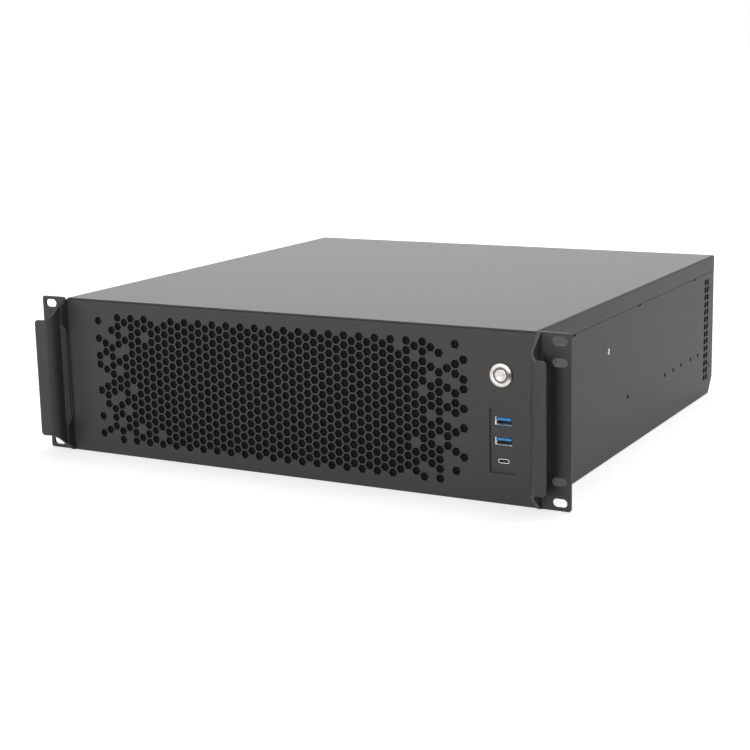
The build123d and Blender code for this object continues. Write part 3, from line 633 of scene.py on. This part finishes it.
def turned(name, rings, centre, sides=96):
    """A form turned about Y from rings of radius and depth behind the centre, first to last."""
    deselect()
    radius, depth = rings[0]
    bpy.ops.mesh.primitive_circle_add(vertices=sides, radius=radius, fill_type="NOTHING",
                                      location=(centre[0], centre[1] + depth, centre[2]),
                                      rotation=ALONG_Y)
    piece = name_last(name)
    bpy.ops.object.transform_apply(location=True, rotation=True, scale=True)
    bpy.ops.object.mode_set(mode="EDIT")
    bpy.ops.mesh.select_mode(type="EDGE")
    bpy.ops.mesh.select_all(action="SELECT")
    for next_radius, next_depth in rings[1:]:
        bpy.ops.mesh.extrude_region_move(TRANSFORM_OT_translate={"value": (0, next_depth - depth, 0)})
        share = next_radius / radius
        bpy.ops.transform.resize(value=(share, 1, share), center_override=centre)
        radius, depth = next_radius, next_depth
    bpy.ops.mesh.select_all(action="SELECT")
    bpy.ops.mesh.remove_doubles(threshold=0.002 * MM)
    bpy.ops.mesh.normals_make_consistent(inside=False)
    bpy.ops.object.mode_set(mode="OBJECT")
    return piece


def smooth(piece):
    only(piece)
    bpy.ops.object.shade_smooth_by_angle(angle=math.radians(30))
    return piece


def button_centre():
    low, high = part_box("button_bezel")
    return ((low.x + high.x) / 2, low.y, (low.z + high.z) / 2)


def scaled(rings):
    return [(radius * MM, depth * MM) for radius, depth in rings]


# The button's forms in millimetres, each ring a radius and a depth behind its front
HEAD_RINGS = (
    (4.9, 23.6), (8.0, 23.6), (8.0, 1.6), (9.1, 1.6), (9.1, 0.75), (8.98, 0.42), (8.7, 0.16), (8.35, 0.04),
    (7.4, 0.0), (6.5, 0.03), (6.2, 0.12), (6.05, 0.35), (6.0, 2.4), (4.9, 2.4), (4.9, 23.6),
)
LIGHT_RINGS = (
    (5.95, 0.62), (5.6, 0.5), (5.1, 0.5), (4.85, 0.62), (4.85, 2.4), (5.95, 2.4), (5.95, 0.62),
)
CAP_RINGS = (
    (0.01, 7.9), (4.8, 7.9), (4.8, 0.9), (4.66, 0.5), (4.55, 0.2), (4.35, 0.04), (4.1, 0.0),
    (3.6, 0.06), (2.4, 0.2), (1.2, 0.28), (0.01, 0.3),
)


def button_part(node, rings, centre, material, body=CHASSIS):
    """One turned form of the button, worn in place of its node."""
    piece = smooth(turned(node + "_finished", scaled(rings), centre))
    dress(piece, M[material], body)
    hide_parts(node)


def power_button():
    """Turned head with polished edges, its dark light ring and the dished, spun cap."""
    centre = button_centre()
    button_part("button_bezel", HEAD_RINGS, centre, "turned")
    button_part("button_ring", LIGHT_RINGS, centre, "ring")
    cap_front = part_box("button_cap")[0].y
    cap_centre = (centre[0], cap_front, centre[2])
    button_part("button_cap", CAP_RINGS, cap_centre, "spun", "power_button")


# Sockets in the port plate
LARGE_SOCKET = (13.1 * MM, 5.8 * MM)
SMALL_SOCKET = (8.9 * MM, 3.2 * MM)
SMALL_BORE = (8.2 * MM, 2.5 * MM)
SMALL_OPENING = (9.7 * MM, 4.0 * MM)
OPENING_LEFT = 7.2 * MM
OPENING_RIGHT = 6.95 * MM
OPENING_BELOW = 3.75 * MM
OPENING_ABOVE = 2.8 * MM
SHELL_DEPTH = 14 * MM
SHELL_WALL = 0.5 * MM
LIP_SETBACK = 0.5 * MM
LIP_DEPTH = 1.0 * MM
LIP_FLARE = 0.45 * MM
MOUTH_FLARE = 0.82 * MM
TONGUE_HALF = 5.6 * MM
TONGUE_THICK = 1.9 * MM
TONGUE_GAP = 0.35 * MM
TONGUE_SETBACK = 0.9 * MM
TONGUE_END = 3 * MM
BLOCK_DEPTH = 3.2 * MM


def port_places():
    """Centres of the three sockets on the port plate, large ones first."""
    low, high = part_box("usb_a_shells")
    x = (low.x + high.x) / 2
    tall = LARGE_SOCKET[1]
    small_low, small_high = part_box("usb_c_shell")
    return (x, high.z - tall / 2), (x, low.z + tall / 2), (x, (small_low.z + small_high.z) / 2)


def slot_bar(name, x, z, size, y0, y1):
    """A bar along Y with round ends to left and right: a box whose four long edges are rounded."""
    bar = bar_piece(name, x, z, size, y0, y1)
    depths = [vertex.co.y for vertex in bar.data.vertices]
    edit_selected(bar, "EDGE", lambda edge: depths[edge.vertices[0]] != depths[edge.vertices[1]])
    bpy.ops.mesh.bevel(offset=0.49 * size[1], segments=10, affect="EDGES")
    bpy.ops.object.mode_set(mode="OBJECT")
    return bar


def funnel(name, x, z, size, y0, y1, spread):
    """A box along Y whose front end is wider by the spread on every side."""
    wide, tall = size
    piece = bar_piece(name, x, z, size, y0, y1)
    edit_selected(piece, "FACE", lambda face: face.center.y < y0 + 0.01 * MM)
    share = (1 + 2 * spread / wide, 1, 1 + 2 * spread / tall)
    bpy.ops.transform.resize(value=share, center_override=(x, y0, z))
    bpy.ops.object.mode_set(mode="OBJECT")
    return piece


def port_plate(places, low, high):
    """The black plate with an opening for each socket."""
    plate = box_piece("port_plate_finished", low, high)
    y0, y1 = low.y - MM, high.y + MM
    for x, z in places[:2]:
        corner = (x - OPENING_LEFT, y0, z - OPENING_BELOW)
        cut(plate, box_piece("hole", corner, (x + OPENING_RIGHT, y1, z + OPENING_ABOVE)))
    x, z = places[2]
    cut(plate, slot_bar("hole", x, z, SMALL_OPENING, y0, y1))
    soften(plate, 0.12 * MM, 2)
    dress(plate, M["case"])
    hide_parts("port_plate")


def large_socket(x, z, front):
    """One large socket: the shell with its flared lip, the tongue and a black back, painted dark as the
    shade deep in the socket.
    """
    lip = front + LIP_SETBACK
    neck = lip + LIP_DEPTH
    back = front + SHELL_DEPTH
    inner = tuple(length - 2 * SHELL_WALL for length in LARGE_SOCKET)
    shell = bar_piece("shell", x, z, LARGE_SOCKET, neck, back)
    combine(shell, funnel("flare", x, z, LARGE_SOCKET, lip, neck + 0.05 * MM, LIP_FLARE), "UNION")
    cut(shell, bar_piece("bore", x, z, inner, lip - MM, back + MM))
    cut(shell, funnel("mouth", x, z, inner, lip - 0.02 * MM, neck, MOUTH_FLARE))
    top = z + inner[1] / 2 - TONGUE_GAP
    tongue = box_piece("tongue", (x - TONGUE_HALF, front + TONGUE_SETBACK, top - TONGUE_THICK),
                       (x + TONGUE_HALF, back - TONGUE_END, top))
    # the back is black moulded plastic: painted shade for the deep cavity under the tongue
    block = bar_piece("block", x, z, inner, back - BLOCK_DEPTH, back)
    return shell, soften(tongue, 0.25 * MM, 3), block


def front_ports():
    """Port plate with its cut-outs, sockets with flared lips, blue tongues and black backs painted dark as
    the shade in the sockets.
    """
    low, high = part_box("port_plate")
    places = port_places()
    port_plate(places, low, high)
    shells, tongues, blocks = zip(*(large_socket(x, z, low.y) for x, z in places[:2]))
    shells = soften(joined(shells, "usb_a_shells_finished"), 0.05 * MM, 1)
    dress(shells, M["port"])
    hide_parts("usb_a_shells")
    tongues = joined(tongues, "usb_a_tongues_finished")
    dress(tongues, M["blue"])
    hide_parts("usb_a_tongues")
    # black backs of the large sockets: painted shade in the sockets
    blocks = soften(joined(blocks, "socket_backs_painted_shade"), 0.1 * MM, 1)
    dress(blocks, M["moulded"])
    x, z = places[2]
    back = low.y + SHELL_DEPTH
    rim = slot_bar("usb_c_shell_finished", x, z, SMALL_SOCKET, low.y + 0.35 * MM, back)
    cut(rim, slot_bar("bore", x, z, SMALL_BORE, low.y - MM, back + MM))
    rim.name = "usb_c_shell_finished"
    smooth(rim)
    dress(rim, M["port"])
    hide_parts("usb_c_shell")


# Fasteners on the side walls in millimetres
EAR_SCREWS = ((33, 11.4), (31, 102))
RIVET_Y = 418.5
RIVET_HEIGHTS = (103.6, 28.3)


def ring_piece(name, outer, inner, depth, place, sides=48):
    """A flat ring lying along X, its sizes in millimetres."""
    ring = disc_piece(name, outer * MM, depth * MM, place, sides, ALONG_X)
    return cut(ring, disc_piece("bore", inner * MM, (depth + 5) * MM, place, sides, ALONG_X))


def side_pieces():
    """Threaded inserts, the screws seen through the ear slots and flush rivets, on both side walls, each
    with a thin near-black ring round it that is painted shadow in the gap.
    """
    low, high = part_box("rail_inserts")
    y, z = (low.y + high.y) / 2, (low.z + high.z) / 2
    inserts = []
    heads = []
    painted_shadow_rings = []
    for side in (-1, 1):
        face = side * HALF
        insert = ring_piece("insert", 2.75, 1.5, 2.8, (face - side * 1.5 * MM, y, z))
        inserts.append(soften(insert, 0.25 * MM, 2))
        # near-black rings just proud of the wall round each insert, screw head and rivet: painted shadow
        # in the gaps
        painted_shadow_rings.append(ring_piece("painted_shadow_ring", 3.2, 2.72, 0.2, (face, y, z)))
        for screw in EAR_SCREWS:
            place = (face, screw[0] * MM, screw[1] * MM)
            head = disc_piece("head", 3.1 * MM, 0.5 * MM, place, 32, ALONG_X)
            deep = (face + side * 0.35 * MM, place[1], place[2])
            cut(head, disc_piece("socket", 1.25 * MM, 0.8 * MM, deep, 6, ALONG_X))
            heads.append(soften(head, 0.12 * MM, 2))
            painted_shadow_rings.append(ring_piece("painted_shadow_ring", 3.9, 3.05, 0.2, place))
        for height in RIVET_HEIGHTS:
            place = (face, RIVET_Y * MM, height * MM)
            rivet = disc_piece("rivet", 1.6 * MM, 0.3 * MM, place, 24, ALONG_X)
            heads.append(soften(rivet, 0.1 * MM, 2))
            painted_shadow_rings.append(ring_piece("painted_shadow_ring", 2.1, 1.55, 0.16, place, 24))
    inserts = joined(inserts, "rail_inserts_finished")
    dress(inserts, M["port"])
    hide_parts("rail_inserts")
    dress(joined(heads, "side_screws"), M["case"])
    dress(joined(painted_shadow_rings, "side_screw_painted_shadows"), M["painted_shadow_ring"])


# Behind the rear wall: inset of the ports' insulators, and the supply's vent field from its corner
PORT_INSET = 1.3 * MM
VENT_LOW = Vector((58.5, -1.9, 8.5)) * MM
VENT_HIGH = Vector((128.5, -1.4, 63.5)) * MM


def rear_insides():
    """Black insulators inside the rear ports and a dark mesh behind the supply's vent cells."""
    merged_copy("rear_ports", "rear_port")
    bpy.ops.mesh.separate(type="LOOSE")
    blocks = []
    for port in list(bpy.context.selected_objects):
        xs, ys, zs = zip(*(vertex.co for vertex in port.data.vertices))
        corner = (min(xs) + PORT_INSET, max(ys) - 6 * MM, min(zs) + PORT_INSET)
        opposite = (max(xs) - PORT_INSET, max(ys) - 1.0 * MM, max(zs) - PORT_INSET)
        blocks.append(box_piece("insulator", corner, opposite))
        bpy.data.objects.remove(port, do_unlink=True)
    dress(soften(joined(blocks, "port_insulators"), 0.2 * MM), M["moulded"])
    low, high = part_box("psu_housing")
    corner = Vector((low.x, high.y, low.z))
    mesh = box_piece("supply_mesh", corner + VENT_LOW, corner + VENT_HIGH)
    dress(mesh, M["filter"])


# Pry slots along the seam under the lid: middles and half length in millimetres, depth, gap under the lid
SEAM_SLOTS = (68.6, 218.0, 368.0)
SEAM_SLOT_HALF = 3.8
SEAM_SLOT_DEPTH = 1.15 * MM
SEAM_GAP = 0.25 * MM


def chassis():
    """The chassis copy with its pry slots cut through into the dark inside."""
    base = merged_copy("chassis_base", "chassis_base_finished")
    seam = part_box("top_cover")[0].z - SEAM_GAP
    slots = []
    for y in SEAM_SLOTS:
        for side in (-1, 1):
            inner, outer = sorted((side * (HALF - SEAM_SLOT_DEPTH), side * (HALF + MM)))
            corner = (inner, (y - SEAM_SLOT_HALF) * MM, seam - SEAM_SLOT_DEPTH)
            slots.append(box_piece("slot", corner, (outer, (y + SEAM_SLOT_HALF) * MM, seam + 0.5 * MM)))
    cut(base, joined(slots, "slots"))
    soften(base, 0.2 * MM, 2)
    dress(base, M["case"])
    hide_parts("chassis_base")


# Pieces that keep their form and get rounded edges: material, slot, edge radius in millimetres
FINISHED = {
    "handle_left": ("case", "case_black", 0.3),
    "handle_right": ("case", "case_black", 0.3),
    "top_cover": ("case", "case_black", 0.25),
    "rear_panel": ("case", "case_black", 0.15),
    # the fan bracket wears the darker copy of the coat: painted shade
    "fan_bracket": ("inner", "case_black", 0.15),
    "button_nut": ("plated", "button_steel", 0.2),
    "button_switch": ("moulded", "black_plastic", 0.2),
    "usb_c_tongue": ("moulded", "black_plastic", 0.08),
    "port_board": ("board", "circuit_board", 0.1),
    "port_spacers": ("brass", "brass", 0.1),
    "main_board": ("board", "circuit_board", 0.1),
    "board_standoffs": ("brass", "brass", 0.15),
    "processor_socket": ("plated", "plated_steel", 0.4),
    "cooler_heatsink": ("aluminium", "aluminium", 0.12),
    "memory_slots": ("moulded", "black_plastic", 0.2),
    "memory_modules": ("board", "circuit_board", 0.1),
    "expansion_sockets": ("moulded", "black_plastic", 0.2),
    "graphics_board": ("board", "circuit_board", 0.1),
    "graphics_housing": ("moulded", "black_plastic", 0.6),
    "graphics_bracket": ("plated", "plated_steel", 0.1),
    "slot_covers": ("plated", "plated_steel", 0.1),
    "io_shield": ("plated", "plated_steel", 0.08),
    "rear_ports": ("port", "plated_steel", 0.15),
    "psu_housing": ("supply", "psu_black", 0.3),
    "psu_inlet": ("moulded", "black_plastic", 0.2),
    "storage_drive": ("aluminium", "aluminium", 0.4),
    "drive_bracket": ("plated", "plated_steel", 0.12),
    "cover_screws": ("plated", "plated_steel", 0.3),
    "psu_rocker_pivot": ("plated", "plated_steel", 0.1),
    "fan_frame_left": ("fan", "fan_plastic", 0.2),
    "fan_frame_middle": ("fan", "fan_plastic", 0.2),
    "fan_frame_right": ("fan", "fan_plastic", 0.2),
    "cooler_fan_frame": ("fan", "fan_plastic", 0.2),
}
MOVING = {
    "fan_rotor_left": ("fan", "fan_plastic", 0.15, "fan_left"),
    "fan_rotor_middle": ("fan", "fan_plastic", 0.15, "fan_middle"),
    "fan_rotor_right": ("fan", "fan_plastic", 0.15, "fan_right"),
    "cooler_fan_rotor": ("fan", "fan_plastic", 0.15, "cooler_fan"),
    "psu_rocker": ("moulded", "black_plastic", 0.2, "psu_rocker"),
}

bpy.context.scene.view_settings.view_transform = "Standard"
make_camera()
make_studio()
make_floor()
M = make_materials()
front_panel()
power_button()
front_ports()
side_pieces()
rear_insides()
chassis()
for node, (material, slot, width) in FINISHED.items():
    finished(node, M[material], width * MM)
for node, (material, slot, width, moving_body) in MOVING.items():
    finished(node, M[material], width * MM, moving_body)
finished("dust_filter", M["filter"], 0.1 * MM)
